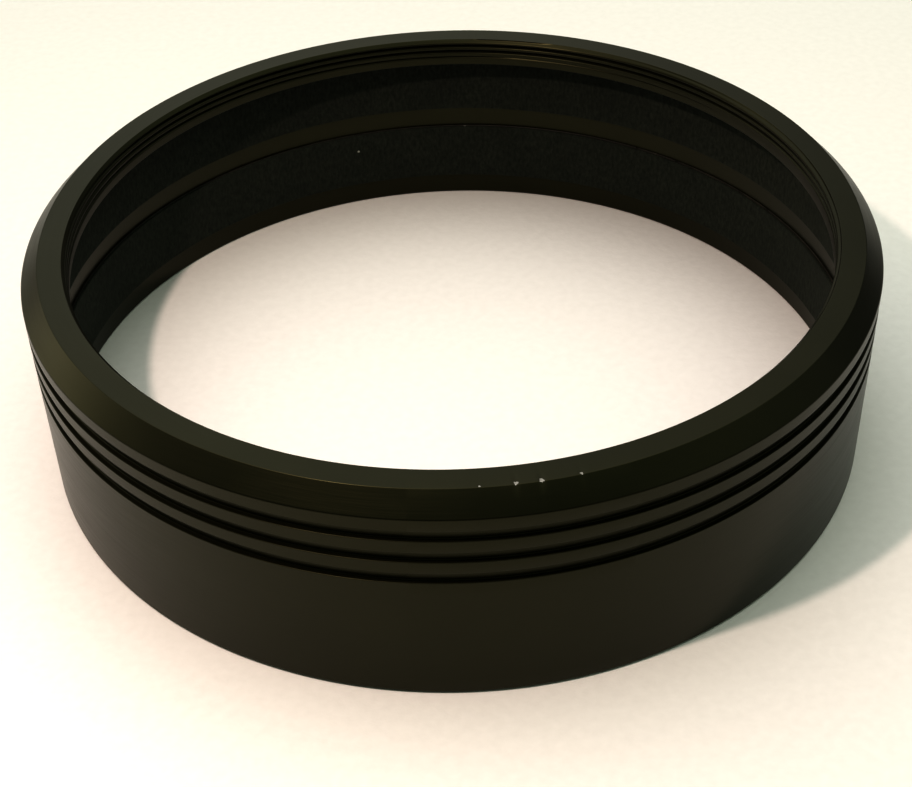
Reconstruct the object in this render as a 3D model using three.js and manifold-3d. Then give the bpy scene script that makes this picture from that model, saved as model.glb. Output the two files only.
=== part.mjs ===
// Slip-on lens hood ring: a turned, black anodised aluminium ring with a threaded lip at the front and
// two self-adhesive flock strips lining its bore. Millimetres. +Z is the ring's axis and points to the
// threaded front. The origin is on the axis, in the plane of the rear rim that the ring stands on.

import * as THREE from 'three';
import { mergeVertices } from 'three/addons/utils/BufferGeometryUtils.js';
import Module from 'manifold-3d';

const wasm = await Module();
wasm.setup();

// Driving dimensions of the turned ring
const outerRadius = 45.5;
const height = 24.25;
const boreRadius = 44;
const rearEdgeChamfer = 0.3;
const boreEntryChamfer = 0.2;
const frontBevel = 1.95;

// The lip at the front narrows the bore and carries the filter thread, M82 x 0.75
const lipRadius = 40.65;
const lipThickness = 3.3;
const lipChamfer = 0.4;
const threadPitch = 0.75;
const threadDepth = 0.43;
const threadHalfWidth = 0.25;
const threadFirstCrossing = 23.5;
const threadLeadInTurns = 1.5;
const threadTurns = 3.75;
const threadRunoutTurns = 0.4;
const cutterClearance = 0.12;

// Three square grooves run round the outside. The heights are their middles
const grooveHeights = [15.25, 17.8, 20.35];
const grooveWidth = 1.2;
const grooveDepth = 0.5;

// Two equal strips line the bore. Each is a flock face on a film of pressure-sensitive adhesive
const stripWidth = 7.5;
const rearStripStart = 2.85;
const frontStripStart = 12.95;
const bondGap = 0.05;
const adhesiveThickness = 0.1;
const flockThickness = 0.3;
const seamAngle = THREE.MathUtils.degToRad(-100);
const seamWidth = 0.4;
const seamCutDepth = 4;

const segments = 72;

const anodised = new THREE.MeshStandardMaterial({ color: 0x1a1a1b, roughness: 0.45, metalness: 0.6 });
const flock = new THREE.MeshStandardMaterial({ color: 0x0a0a0b, roughness: 1, metalness: 0 });
const adhesive = new THREE.MeshStandardMaterial({ color: 0x8a8372, roughness: 0.35, metalness: 0 });

// Turns a closed outline of (radius, height) points about the Z axis
function turned(outline) {
  const closed = [...outline, outline[0]].map(([radius, z]) => new THREE.Vector2(radius, z));
  return new THREE.LatheGeometry(closed, segments).rotateX(Math.PI / 2);
}

function solidFrom(geometry) {
  geometry.deleteAttribute('normal');
  geometry.deleteAttribute('uv');
  const welded = mergeVertices(geometry, 1e-4);
  return new wasm.Manifold(new wasm.Mesh({
    numProp: 3,
    vertProperties: new Float32Array(welded.attributes.position.array),
    triVerts: new Uint32Array(welded.index.array),
  }));
}

function geometryFrom(solid) {
  const mesh = solid.getMesh();
  const geometry = new THREE.BufferGeometry();
  geometry.setAttribute('position', new THREE.BufferAttribute(mesh.vertProperties, 3));
  geometry.setIndex(new THREE.BufferAttribute(mesh.triVerts, 1));
  geometry.computeVertexNormals();
  return geometry;
}

// One groove as (radius, height) points from its lower lip to its upper lip
function groove(middle) {
  const bottomRadius = outerRadius - grooveDepth;
  return [
    [outerRadius, middle - grooveWidth / 2],
    [bottomRadius, middle - grooveWidth / 2],
    [bottomRadius, middle + grooveWidth / 2],
    [outerRadius, middle + grooveWidth / 2],
  ];
}

function ringOutline() {
  return [
    [boreRadius + boreEntryChamfer, 0],
    [outerRadius - rearEdgeChamfer, 0],
    [outerRadius, rearEdgeChamfer],
    ...grooveHeights.flatMap(groove),
    [outerRadius, height - frontBevel],
    [outerRadius - frontBevel, height],
    [lipRadius + lipChamfer, height],
    [lipRadius, height - lipChamfer],
    [lipRadius, height - lipThickness],
    [boreRadius, height - lipThickness],
    [boreRadius, boreEntryChamfer],
  ];
}

// Centre line of the right-hand thread groove. It starts above the front face, winds down into the lip
// and leaves the metal inwards over its last part of a turn. threadFirstCrossing is its height on the
// +Y side, where it first runs all inside the lip
class ThreadPath extends THREE.Curve {
  getPoint(t) {
    const turnsDown = t * threadTurns - threadLeadInTurns;
    const angle = Math.PI / 2 + Math.PI / segments - 2 * Math.PI * turnsDown;
    const z = threadFirstCrossing - threadPitch * turnsDown;
    const turnsLeft = threadTurns * (1 - t);
    const runout = Math.max(0, 1 - turnsLeft / threadRunoutTurns);
    const radius = lipRadius - (threadDepth + cutterClearance) * runout;
    return new THREE.Vector3(radius * Math.cos(angle), radius * Math.sin(angle), z);
  }

  // Equal steps are equal angles, so each corner of the groove falls midway along a facet of the lip
  getUtoTmapping(u) {
    return u;
  }
}

function threadCutter() {
  const flare = threadHalfWidth * (1 + cutterClearance / threadDepth);
  const section = new THREE.Shape([
    new THREE.Vector2(-threadDepth, 0),
    new THREE.Vector2(cutterClearance, -flare),
    new THREE.Vector2(cutterClearance, flare),
  ]);
  return new THREE.ExtrudeGeometry(section, {
    steps: Math.round(threadTurns * segments),
    extrudePath: new ThreadPath(),
  });
}

// Cutting the thread frees two specks of metal where it enters the lip's chamfer, and they fall away
function largestBody(solid) {
  return solid.decompose().reduce((best, body) => (body.volume() > best.volume() ? body : best));
}

// A band round the bore, cut through at the butt seam
function bandGeometry(innerRadius, outerBandRadius, start) {
  const outline = [
    [innerRadius, start],
    [outerBandRadius, start],
    [outerBandRadius, start + stripWidth],
    [innerRadius, start + stripWidth],
  ];
  const seamCut = new THREE.BoxGeometry(seamCutDepth, seamWidth, 2 * stripWidth);
  seamCut.translate(innerRadius, 0, start + stripWidth / 2);
  seamCut.rotateZ(seamAngle);
  return geometryFrom(solidFrom(turned(outline)).subtract(solidFrom(seamCut)));
}

function addPiece(group, name, geometry, material) {
  const mesh = new THREE.Mesh(geometry, material);
  mesh.name = name;
  group.add(mesh);
}

function addLining(group, place, start) {
  const filmOuter = boreRadius - bondGap;
  const filmInner = filmOuter - adhesiveThickness;
  const flockOuter = filmInner - bondGap;
  const flockInner = flockOuter - flockThickness;
  addPiece(group, `${place}_adhesive_film`, bandGeometry(filmInner, filmOuter, start), adhesive);
  addPiece(group, `${place}_flock_strip`, bandGeometry(flockInner, flockOuter, start), flock);
}

const hood = new THREE.Group();
const ringSolid = solidFrom(turned(ringOutline())).subtract(solidFrom(threadCutter()));
addPiece(hood, 'hood_ring', geometryFrom(largestBody(ringSolid)), anodised);
addLining(hood, 'front', frontStripStart);
addLining(hood, 'rear', rearStripStart);

export default hood;
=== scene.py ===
"""Looks of the slip-on lens hood ring: the machined and anodised ring, the two flock strips that line its
bore and the adhesive film behind each strip. Outlines are (radius, height) points in millimetres."""

import math

import bpy
import numpy as np
from mathutils import Matrix, Vector


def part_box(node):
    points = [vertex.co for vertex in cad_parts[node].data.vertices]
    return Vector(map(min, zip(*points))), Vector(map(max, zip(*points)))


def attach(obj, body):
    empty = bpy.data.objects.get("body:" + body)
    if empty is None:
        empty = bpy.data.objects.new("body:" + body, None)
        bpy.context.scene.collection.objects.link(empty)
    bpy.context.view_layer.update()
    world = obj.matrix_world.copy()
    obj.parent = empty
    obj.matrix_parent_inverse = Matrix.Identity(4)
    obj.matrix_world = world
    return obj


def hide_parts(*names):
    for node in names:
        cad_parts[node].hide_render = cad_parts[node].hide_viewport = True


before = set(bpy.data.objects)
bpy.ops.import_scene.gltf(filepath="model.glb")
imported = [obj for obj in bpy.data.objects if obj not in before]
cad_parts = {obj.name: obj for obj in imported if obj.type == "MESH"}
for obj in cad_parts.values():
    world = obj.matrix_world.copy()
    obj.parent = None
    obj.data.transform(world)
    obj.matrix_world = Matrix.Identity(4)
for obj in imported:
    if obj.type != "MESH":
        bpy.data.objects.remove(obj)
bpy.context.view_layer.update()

MM = 0.001

# The turned ring. Its overall size comes from the frame, and the rest repeats the design's dimensions
RING_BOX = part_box("hood_ring")
OUTER_RADIUS = RING_BOX[1].x / MM
HEIGHT = RING_BOX[1].z / MM
BORE_RADIUS = 44.0
REAR_EDGE_CHAMFER = 0.3
BORE_ENTRY_CHAMFER = 0.2
FRONT_BEVEL = 1.95
BEVEL_EDGE_RADIUS = 0.3
RIM_EDGE_RADIUS = 0.12
LIP_RADIUS = 40.65
LIP_THICKNESS = 3.3
LIP_CHAMFER = 0.4
GROOVE_HEIGHTS = (15.25, 17.8, 20.35)
GROOVE_WIDTH = 1.2
GROOVE_DEPTH = 0.5
GROOVE_LIP_RADIUS = 0.06
GROOVE_CORNER_RADIUS = 0.1

# The filter thread inside the lip
THREAD_PITCH = 0.75
THREAD_DEPTH = 0.43
THREAD_HALF_WIDTH = 0.25
THREAD_FIRST_CROSSING = 23.5
THREAD_LEAD_IN = 1.5
THREAD_TURNS = 3.75
THREAD_RUNOUT = 0.4
THREAD_CLEARANCE = 0.12
THREAD_BOTTOM = 21.8
THREAD_ROW = 0.05
FIRST_LIP_ROW = 3

# The lining
BOND_GAP = 0.05
ADHESIVE_THICKNESS = 0.1
FLOCK_THICKNESS = 0.3
SEAM_ANGLE = math.radians(-100)
SEAM_WIDTH = 0.4
EDGE_WAVER = 0.09
PILE_UNEVENNESS = 0.03
BACK_CORNER_RADIUS = 0.02
FILM_CORNER_RADIUS = 0.03
FLOCK_CORNER_RADIUS = 0.14

# Columns of each mesh. The ring has extra ones over the arc where its edge is nicked
RING_COLUMNS = 420
WORN_COLUMNS = 100
WORN_ARC = (math.radians(-96), math.radians(-70))
FILM_COLUMNS = 480
FLOCK_COLUMNS = 900
# The longest straight run left undivided in each section
RING_STEP = 1.5
FILM_STEP = 0.8
FLOCK_STEP = 0.3
# Nicks in the edge of the flat rim: angle in degrees, radius and depth in millimetres
NICK_RADIUS = 43.4
NICKS = ((-83.5, 0.30, 0.08), (-80.5, 0.34, 0.09), (-75.8, 0.22, 0.06), (-87.7, 0.15, 0.03))


# Outlines


def unit(vector):
    return vector / np.linalg.norm(vector)


def fillet(before, corner, after, radius, steps=5):
    """The arc that rounds off one corner of an outline."""
    to_before, to_after = unit(before - corner), unit(after - corner)
    half = math.acos(np.clip(to_before @ to_after, -1, 1)) / 2
    centre = corner + unit(to_before + to_after) * radius / math.sin(half)
    start = corner + to_before * radius / math.tan(half) - centre
    end = corner + to_after * radius / math.tan(half) - centre
    sweep = math.pi - 2 * half
    shares = np.linspace(0, 1, steps + 1)
    return [centre + (start * math.sin((1 - s) * sweep) + end * math.sin(s * sweep)) / math.sin(sweep)
            for s in shares]


def rounded(outline):
    """A closed outline of (radius, height, fillet radius) corners as a list of points."""
    corners = [np.array(corner[:2], float) for corner in outline]
    points = []
    for i, (corner, entry) in enumerate(zip(corners, outline)):
        if entry[2] > 0:
            points += fillet(corners[i - 1], corner, corners[(i + 1) % len(corners)], entry[2])
        else:
            points.append(corner)
    return points


def divided(points, longest):
    """The same closed outline, with its long straight runs cut into equal parts."""
    cut = []
    for point, following in zip(points, points[1:] + points[:1]):
        parts = max(1, math.ceil(np.linalg.norm(following - point) / longest))
        cut += [point + (following - point) * k / parts for k in range(parts)]
    return cut


def groove_outline(middle):
    """One outer groove from its lower lip to its upper lip."""
    bottom_radius = OUTER_RADIUS - GROOVE_DEPTH
    return [
        (OUTER_RADIUS, middle - GROOVE_WIDTH / 2, GROOVE_LIP_RADIUS),
        (bottom_radius, middle - GROOVE_WIDTH / 2, GROOVE_CORNER_RADIUS),
        (bottom_radius, middle + GROOVE_WIDTH / 2, GROOVE_CORNER_RADIUS),
        (OUTER_RADIUS, middle + GROOVE_WIDTH / 2, GROOVE_LIP_RADIUS),
    ]


def lip_outline():
    """The lip's bore from the top of its chamfer to below the thread, in rows fine enough for the thread."""
    top = (LIP_RADIUS + LIP_CHAMFER, HEIGHT, 0.05)
    rows = math.ceil((HEIGHT - THREAD_BOTTOM) / THREAD_ROW)
    corners = [top]
    for row in range(FIRST_LIP_ROW, rows + 1):
        z = HEIGHT - row * (HEIGHT - THREAD_BOTTOM) / rows
        corners.append((LIP_RADIUS + max(0, z - HEIGHT + LIP_CHAMFER), z, 0))
    return corners


def ring_outline():
    corners = [
        (BORE_RADIUS + BORE_ENTRY_CHAMFER, 0, 0.05),
        (OUTER_RADIUS - REAR_EDGE_CHAMFER, 0, 0.08),
        (OUTER_RADIUS, REAR_EDGE_CHAMFER, 0.1),
    ]
    for middle in GROOVE_HEIGHTS:
        corners += groove_outline(middle)
    corners += [
        (OUTER_RADIUS, HEIGHT - FRONT_BEVEL, BEVEL_EDGE_RADIUS),
        (OUTER_RADIUS - FRONT_BEVEL, HEIGHT, RIM_EDGE_RADIUS),
        *lip_outline(),
        (LIP_RADIUS, HEIGHT - LIP_THICKNESS, 0.1),
        (BORE_RADIUS, HEIGHT - LIP_THICKNESS, 0.2),
        (BORE_RADIUS, BORE_ENTRY_CHAMFER, 0.05),
    ]
    return divided(rounded(corners), RING_STEP)


# Meshes


def make_piece(name, points, closed):
    """Skins a grid of points, in millimetres: each column is one closed section, and the columns go round
    the axis. An open band gets a face over each end."""
    columns, rows = points.shape[:2]
    index = np.arange(columns * rows).reshape(columns, rows)
    here, following = index, np.roll(index, -1, axis=0)
    if not closed:
        here, following = here[:-1], following[:-1]
    quads = np.stack([here, following, np.roll(following, -1, axis=1), np.roll(here, -1, axis=1)], axis=-1)
    faces = quads.reshape(-1, 4).tolist()
    if not closed:
        faces += [index[0].tolist(), index[-1, ::-1].tolist()]
    mesh = bpy.data.meshes.new(name)
    mesh.from_pydata((points.reshape(-1, 3) * MM).tolist(), [], faces)
    mesh.update()
    mesh.shade_smooth()
    piece = bpy.data.objects.new(name, mesh)
    bpy.context.scene.collection.objects.link(piece)
    normals = piece.modifiers.new("Flat faces stay flat", "WEIGHTED_NORMAL")
    normals.weight = 100
    normals.keep_sharp = True
    return piece


def around(radius, height, angles):
    """Grid of points from radius and height, each of shape (columns, rows), and one angle per column."""
    turn = np.broadcast_to(angles[:, None], radius.shape)
    return np.stack([radius * np.cos(turn), radius * np.sin(turn), height], axis=-1)


def thread_radius(height, angle):
    """How far out the thread's V groove reaches at each height and angle."""
    reach = np.zeros(np.broadcast(height, angle).shape)
    first = ((math.pi / 2 - angle) / (2 * math.pi)) % 1
    for turn in range(-2, 3):
        turns_down = first + turn
        turns_left = THREAD_TURNS - THREAD_LEAD_IN - turns_down
        runout = np.clip(1 - turns_left / THREAD_RUNOUT, 0, None)
        below = np.abs(height - THREAD_FIRST_CROSSING + THREAD_PITCH * turns_down)
        depth = THREAD_DEPTH * (1 - below / THREAD_HALF_WIDTH)
        depth = depth - (THREAD_DEPTH + THREAD_CLEARANCE) * runout
        reach = np.maximum(reach, LIP_RADIUS + depth)
    return reach


def nick(radius, height, angles):
    """Dents the rim where the ring was knocked."""
    for degrees, size, depth in NICKS:
        along = (angles - math.radians(degrees))[:, None] * NICK_RADIUS
        away = np.sqrt(along ** 2 + (radius - NICK_RADIUS) ** 2 + (height - HEIGHT) ** 2)
        dent = depth * np.exp(-(away / (0.6 * size)) ** 2)
        radius = radius - 0.6 * dent
        height = height - 0.8 * dent
    return radius, height


def make_ring():
    outline = np.array(ring_outline())
    angles = np.linspace(-math.pi, math.pi, RING_COLUMNS, endpoint=False)
    worn = np.linspace(*WORN_ARC, WORN_COLUMNS)
    angles = np.unique(np.concatenate([angles[(angles < worn[0]) | (angles > worn[-1])], worn]))
    radius = np.tile(outline[:, 0], (len(angles), 1))
    height = np.tile(outline[:, 1], (len(angles), 1))
    in_lip = (radius < LIP_RADIUS + LIP_CHAMFER + 0.01) & (height > THREAD_BOTTOM)
    cut = np.maximum(radius, thread_radius(height, angles[:, None]))
    radius = np.where(in_lip, cut, radius)
    radius, height = nick(radius, height, angles)
    return make_piece("machined_ring", around(radius, height, angles), closed=True)


def wander(angles, seed, reach):
    """A slow random waver round the ring, as a hand-cut edge has."""
    rng = np.random.default_rng(seed)
    waver = np.zeros_like(angles)
    for waves in range(1, 15):
        waver += rng.normal() / waves ** 0.7 * np.sin(waves * angles + rng.uniform(0, 2 * math.pi))
    return reach * waver / np.abs(waver).max()


def band(name, bottom, top, inner, outer, corner, columns, rows_apart, seed=None):
    """A strip round the bore that starts and ends at the seam. With a seed, its edges waver and its face is
    uneven, as cut flock is."""
    half_seam = SEAM_WIDTH / 2 / outer
    angles = np.linspace(SEAM_ANGLE + half_seam, SEAM_ANGLE + 2 * math.pi - half_seam, columns)
    corners = [(inner, bottom, corner), (outer, bottom, BACK_CORNER_RADIUS),
               (outer, top, BACK_CORNER_RADIUS), (inner, top, corner)]
    outline = np.array(divided(rounded(corners), rows_apart))
    radius = np.tile(outline[:, 0], (columns, 1))
    height = np.tile(outline[:, 1], (columns, 1))
    if seed is not None:
        middle = (bottom + top) / 2
        low = wander(angles, seed, EDGE_WAVER)[:, None]
        high = wander(angles, seed + 1, EDGE_WAVER)[:, None]
        share = (height - bottom) / (top - bottom)
        height = height + (EDGE_WAVER + low) * (1 - share) - (EDGE_WAVER + high) * share
        rng = np.random.default_rng(seed + 2)
        face = (radius < (inner + outer) / 2) & (np.abs(height - middle) < (top - bottom) / 2 - 0.1)
        radius = radius + np.where(face, rng.uniform(0, PILE_UNEVENNESS, radius.shape), 0)
    return make_piece(name, around(radius, height, angles), closed=False)


def make_lining(place, seed):
    low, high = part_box(f"{place}_flock_strip")
    bottom, top = low.z / MM, high.z / MM
    film_outer = BORE_RADIUS - BOND_GAP
    film_inner = film_outer - ADHESIVE_THICKNESS
    flock_outer = film_inner - BOND_GAP
    flock_inner = flock_outer - FLOCK_THICKNESS
    film = band(f"{place}_adhesive", bottom, top, film_inner, film_outer, FILM_CORNER_RADIUS,
                FILM_COLUMNS, FILM_STEP)
    flock = band(f"{place}_flock", bottom, top, flock_inner, flock_outer, FLOCK_CORNER_RADIUS,
                 FLOCK_COLUMNS, FLOCK_STEP, seed)
    return film, flock


# Materials

# Radius in metres at which the pattern of the pile is laid out, the painted shade of the pile in its hollows
# and the painted light on its tips
PILE_RADIUS = 0.0433
PILE_HOLLOW_SHADE = (0.0140, 0.0170, 0.0120, 1)
PILE_TIP_LIGHT = (0.0340, 0.0400, 0.0280, 1)


class Nodes:
    """Adds nodes to one tree and links them."""

    def __init__(self, tree):
        self.tree = tree

    def add(self, kind, inputs=None, **settings):
        node = self.tree.nodes.new(kind)
        for key, value in settings.items():
            setattr(node, key, value)
        for key, value in (inputs or {}).items():
            self.put(node.inputs[key], value)
        return node

    def put(self, socket, value):
        if isinstance(value, bpy.types.NodeSocket):
            self.tree.links.new(value, socket)
        else:
            socket.default_value = value

    def math(self, operation, *values, clamp=False):
        node = self.add("ShaderNodeMath", operation=operation, use_clamp=clamp)
        for socket, value in zip(node.inputs, values):
            self.put(socket, value)
        return node.outputs[0]

    def stretched(self, vector, scale):
        node = self.add("ShaderNodeVectorMath", {0: vector, 1: scale}, operation="MULTIPLY")
        return node.outputs[0]

    def noise(self, vector, scale, detail=2.0, roughness=0.5):
        inputs = {"Vector": vector, "Scale": scale, "Detail": detail, "Roughness": roughness}
        return self.add("ShaderNodeTexNoise", inputs).outputs["Fac"]

    def between(self, value, low, high, to_low=0.0, to_high=1.0):
        """Maps low..high onto to_low..to_high, and stops at the ends."""
        inputs = {"Value": value, "From Min": low, "From Max": high, "To Min": to_low, "To Max": to_high}
        return self.add("ShaderNodeMapRange", inputs).outputs[0]

    def mixed(self, factor, one, other):
        node = self.add("ShaderNodeMix", data_type="RGBA")
        self.put(node.inputs[0], factor)
        self.put(node.inputs[6], one)
        self.put(node.inputs[7], other)
        return node.outputs[2]

    def bump(self, height, distance, strength=1.0, normal=None):
        inputs = {"Height": height, "Distance": distance, "Strength": strength}
        if normal is not None:
            inputs["Normal"] = normal
        return self.add("ShaderNodeBump", inputs).outputs[0]

    def combined(self, x, y, z):
        return self.add("ShaderNodeCombineXYZ", {0: x, 1: y, 2: z}).outputs[0]


class Finish(Nodes):
    """The nodes of one material."""

    def __init__(self, name):
        self.material = bpy.data.materials.new(name)
        self.material.use_nodes = True
        super().__init__(self.material.node_tree)
        self.shader = self.tree.nodes["Principled BSDF"]
        self.position = self.add("ShaderNodeTexCoord").outputs["Object"]

    def set(self, **values):
        for key, value in values.items():
            self.put(self.shader.inputs[key.replace("_", " ")], value)

    def axis_coordinates(self):
        """Distance from the axis, height and angle, so that a pattern can run round the ring."""
        x, y, z = self.add("ShaderNodeSeparateXYZ", {0: self.position}).outputs
        across = self.stretched(self.position, (1, 1, 0))
        radius = self.add("ShaderNodeVectorMath", {0: across}, operation="LENGTH").outputs["Value"]
        return radius, z, self.math("ARCTAN2", y, x)


def bare_metal(nodes):
    """1 on the bare metal of each nick, with a ragged outline, and 0 elsewhere."""
    ragged = nodes.noise(nodes.position, 4200, 2.0)
    bare = None
    for degrees, size, _ in NICKS:
        angle = math.radians(degrees)
        place = Vector((NICK_RADIUS * math.cos(angle), NICK_RADIUS * math.sin(angle), HEIGHT)) * MM
        gap = nodes.add("ShaderNodeVectorMath", {0: nodes.position, 1: place}, operation="DISTANCE")
        reach = nodes.math("MULTIPLY", ragged, 1.3 * size * MM)
        here = nodes.math("GREATER_THAN", reach, gap.outputs["Value"])
        bare = here if bare is None else nodes.math("MAXIMUM", bare, here)
    return bare


def anodised_finish():
    """Satin black anodising over turned aluminium."""
    nodes = Finish("black_anodised_aluminium")
    radius, height, angle = nodes.axis_coordinates()
    # Fine feed marks of the lathe run round the ring on every turned face
    turning = nodes.combined(radius, nodes.math("MULTIPLY", angle, 0.0006), height)
    feed = nodes.noise(turning, 9000, 2.0, 0.6)
    blast = nodes.noise(nodes.position, 14000, 1.0)
    cloud = nodes.noise(nodes.position, 90, 3.0, 0.6)
    bare = bare_metal(nodes)
    shade = nodes.between(cloud, 0.35, 0.65)
    tone = nodes.mixed(shade, (0.0036, 0.0036, 0.0016, 1), (0.0060, 0.0058, 0.0028, 1))
    colour = nodes.mixed(bare, tone, (0.34, 0.32, 0.30, 1))
    rough = nodes.between(feed, 0.3, 0.7, 0.28, 0.36)
    relief = nodes.bump(blast, 0.0000015, normal=nodes.bump(feed, 0.000002))
    nodes.set(Base_Color=colour, Roughness=rough, Metallic=bare, Normal=relief)
    nodes.set(IOR=1.5, Specular_IOR_Level=0.34, Specular_Tint=(1.0, 0.98, 0.50, 1))
    return nodes.material


def flock_finish():
    """Short dense pile: matt, with a faint upright nap and a few specks of lint."""
    nodes = Finish("black_flock")
    radius, height, angle = nodes.axis_coordinates()
    along = nodes.math("MULTIPLY", angle, PILE_RADIUS)
    wall = nodes.combined(along, nodes.math("MULTIPLY", height, 0.45), radius)
    nap = nodes.noise(wall, 2600, 3.0, 0.65)
    patch = nodes.noise(nodes.position, 160, 2.0)
    cells = nodes.add("ShaderNodeTexVoronoi", {"Vector": nodes.position, "Scale": 420, "Randomness": 1.0})
    chance = nodes.add("ShaderNodeSeparateColor", {0: cells.outputs["Color"]}).outputs[0]
    chosen = nodes.math("GREATER_THAN", chance, 0.985)
    speck = nodes.math("LESS_THAN", cells.outputs["Distance"], nodes.math("MULTIPLY", chance, 0.10))
    lint = nodes.math("MULTIPLY", chosen, speck)
    # Painted shade and light: the pile is coloured darker where its nap bump is low and lighter where it is
    # high; random patches are darker too
    dark = nodes.mixed(nodes.between(nap, 0.3, 0.7), PILE_HOLLOW_SHADE, PILE_TIP_LIGHT)
    dark = nodes.mixed(nodes.between(patch, 0.3, 0.7, 0.0, 0.35), dark, PILE_HOLLOW_SHADE)
    colour = nodes.mixed(lint, dark, (0.35, 0.36, 0.32, 1))
    nodes.set(Base_Color=colour, Roughness=1.0, Specular_IOR_Level=0.1, Normal=nodes.bump(nap, 0.00006))
    nodes.set(Sheen_Weight=0.04, Sheen_Roughness=0.5)
    return nodes.material


def adhesive_finish():
    """Clear acrylic transfer adhesive, slightly yellow, over the black bore."""
    nodes = Finish("adhesive_film")
    mottle = nodes.noise(nodes.position, 700, 3.0, 0.6)
    colour = nodes.mixed(nodes.between(mottle, 0.3, 0.7), (0.020, 0.018, 0.013, 1), (0.050, 0.045, 0.032, 1))
    nodes.set(Base_Color=colour, Roughness=nodes.between(mottle, 0.3, 0.7, 0.25, 0.5), IOR=1.47)
    nodes.set(Normal=nodes.bump(mottle, 0.00002))
    return nodes.material


def paper_finish():
    nodes = Finish("pale_floor")
    fibres = nodes.noise(nodes.position, 900, 3.0)
    tone = nodes.mixed(nodes.between(fibres, 0.3, 0.7), (0.80, 0.79, 0.77, 1), (0.83, 0.82, 0.80, 1))
    nodes.set(Base_Color=tone, Roughness=0.9, Specular_IOR_Level=0.2, Normal=nodes.bump(fibres, 0.00004))
    return nodes.material


def finish_piece(piece, node, material):
    piece.data.materials.append(material)
    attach(piece, "root")
    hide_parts(node)


# The set

# A small lamp stands close by, in front on the left. The rest of the light comes softly from the room
FLOOR_NEAR_RADIUS = 0.22
FLOOR_FAR_RADIUS = 3.0
FLOOR_GAP = 0.02
LAMP_PLACE = (-0.0639, -0.0748, 0.1644)
LAMP_SIZE = 0.009
LAMP_POWER = 0.2
LAMP_COLOUR = (1.0, 0.77, 0.70)
# Soft lights of the room: direction from the X axis and elevation in degrees, sharpness and colour
ROOM_LIGHTS = (
    (110, 78, 6, (2.50, 2.20, 2.35)),
    (0, 90, 2, (0.32, 0.50, 0.30)),
    (90, 10, 20, (0.90, 0.85, 0.70)),
    (105, 38, 16, (0.90, 0.95, 0.95)),
    (158, 12, 14, (2.7, 2.5, 1.9)),
    (0, 45, 6, (0.55, 0.60, 0.50)),
)


def make_floor():
    """Pale paper. Only the part near the ring is mirrored in the metal, as a table would end there."""
    paper = paper_finish()
    turn = np.linspace(0, 2 * math.pi, 96, endpoint=False)
    circle = np.stack([np.cos(turn), np.sin(turn), np.zeros_like(turn)], axis=-1)
    near_edge, far_edge = circle * FLOOR_NEAR_RADIUS, circle * FLOOR_FAR_RADIUS
    around_turn = [(i, (i + 1) % len(turn)) for i in range(len(turn))]
    far_faces = [(i, i + len(turn), j + len(turn), j) for i, j in around_turn]
    for name, points, faces in (
        ("floor_near", near_edge, [tuple(range(len(turn)))]),
        ("floor_far", np.concatenate([near_edge, far_edge]), far_faces),
    ):
        mesh = bpy.data.meshes.new(name)
        mesh.from_pydata(points.tolist(), [], faces)
        mesh.materials.append(paper)
        floor = bpy.data.objects.new(name, mesh)
        floor.location.z = -FLOOR_GAP * MM
        floor.visible_glossy = name == "floor_near"
        bpy.context.scene.collection.objects.link(floor)


def aim(thing, target):
    thing.rotation_mode = "QUATERNION"
    thing.rotation_quaternion = (Vector(target) - thing.location).to_track_quat("-Z", "Y")


def add_light(name, place, size, power, colour, target=(0, 0, 0.012)):
    data = bpy.data.lights.new(name, "AREA")
    data.shape = "DISK"
    data.size = size
    data.energy = power
    data.color = colour
    light = bpy.data.objects.new(name, data)
    light.location = place
    bpy.context.scene.collection.objects.link(light)
    aim(light, target)


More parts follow.
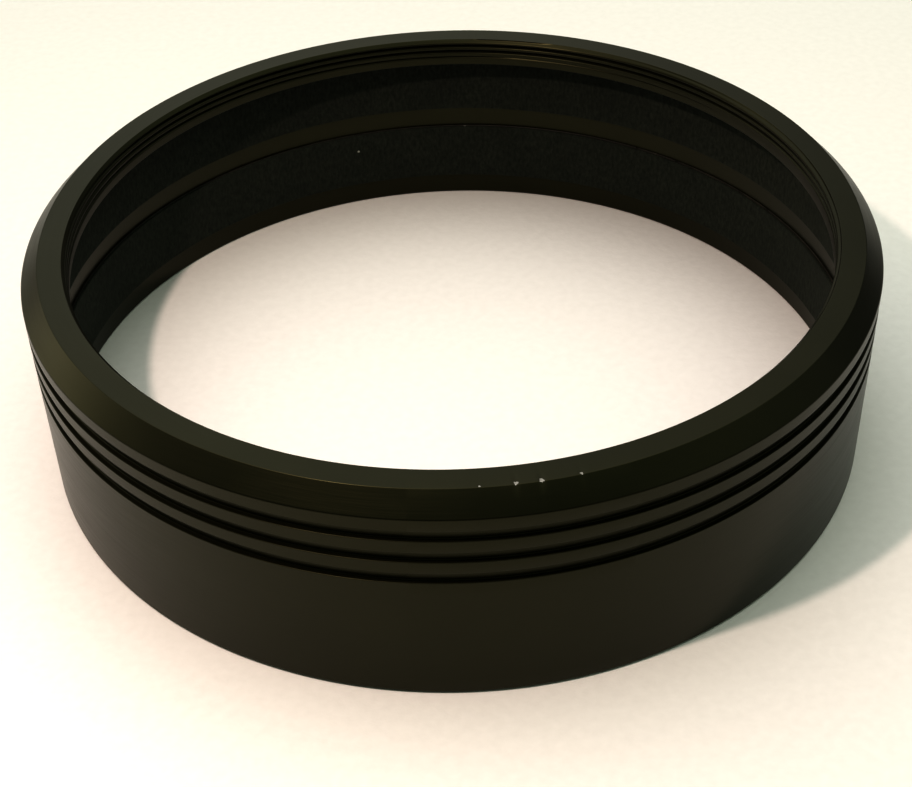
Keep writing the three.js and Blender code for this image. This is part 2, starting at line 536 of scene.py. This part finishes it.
def make_room():
    """Soft light from above, from behind the ring and from its sides, and none from below the floor."""
    world = bpy.data.worlds.new("room")
    bpy.context.scene.world = world
    world.use_nodes = True
    nodes = Nodes(world.node_tree)
    direction = nodes.add("ShaderNodeTexCoord").outputs["Generated"]
    above = nodes.add("ShaderNodeSeparateXYZ", {0: direction}).outputs["Z"]
    light = nodes.combined(0, 0, 0)
    for direction_angle, elevation, sharpness, colour in ROOM_LIGHTS:
        turn, rise = math.radians(direction_angle), math.radians(elevation)
        middle = (math.cos(rise) * math.cos(turn), math.cos(rise) * math.sin(turn), math.sin(rise))
        closeness = nodes.add("ShaderNodeVectorMath", {0: direction, 1: middle}, operation="DOT_PRODUCT")
        share = nodes.math("POWER", nodes.math("MAXIMUM", closeness.outputs["Value"], 0.0), sharpness)
        scaled = nodes.add("ShaderNodeVectorMath", {0: colour, "Scale": share}, operation="SCALE").outputs[0]
        light = nodes.add("ShaderNodeVectorMath", {0: light, 1: scaled}, operation="ADD").outputs[0]
    sky = nodes.math("GREATER_THAN", above, 0.0)
    shown = nodes.add("ShaderNodeVectorMath", {0: light, "Scale": sky}, operation="SCALE").outputs[0]
    nodes.put(nodes.tree.nodes["Background"].inputs["Color"], shown)


def make_camera():
    """The viewpoint: close above the ring, looking down at it, with the camera turned a little."""
    data = bpy.data.cameras.new("camera")
    data.sensor_width = 36
    data.lens = 64.27
    data.clip_start = 0.01
    camera = bpy.data.objects.new("camera", data)
    bpy.context.scene.collection.objects.link(camera)
    tilt = Matrix.Rotation(math.radians(90 - 38.77), 4, "X")
    roll = Matrix.Rotation(math.radians(-1.92), 4, "Z")
    camera.matrix_world = Matrix.Translation((0, -0.1476, 0.1183)) @ tilt @ roll
    bpy.context.scene.camera = camera


make_camera()
make_room()
make_floor()
add_light("lamp", LAMP_PLACE, LAMP_SIZE, LAMP_POWER, LAMP_COLOUR, target=(0.02, 0.02, 0))

anodised = anodised_finish()
pile = flock_finish()
adhesive = adhesive_finish()
finish_piece(make_ring(), "hood_ring", anodised)
for place, seed in (("front", 11), ("rear", 23)):
    film, flock = make_lining(place, seed)
    finish_piece(film, f"{place}_adhesive_film", adhesive)
    finish_piece(flock, f"{place}_flock_strip", pile)

view_settings = bpy.context.scene.view_settings
view_settings.view_transform = "Standard"
view_settings.gamma = 0.7
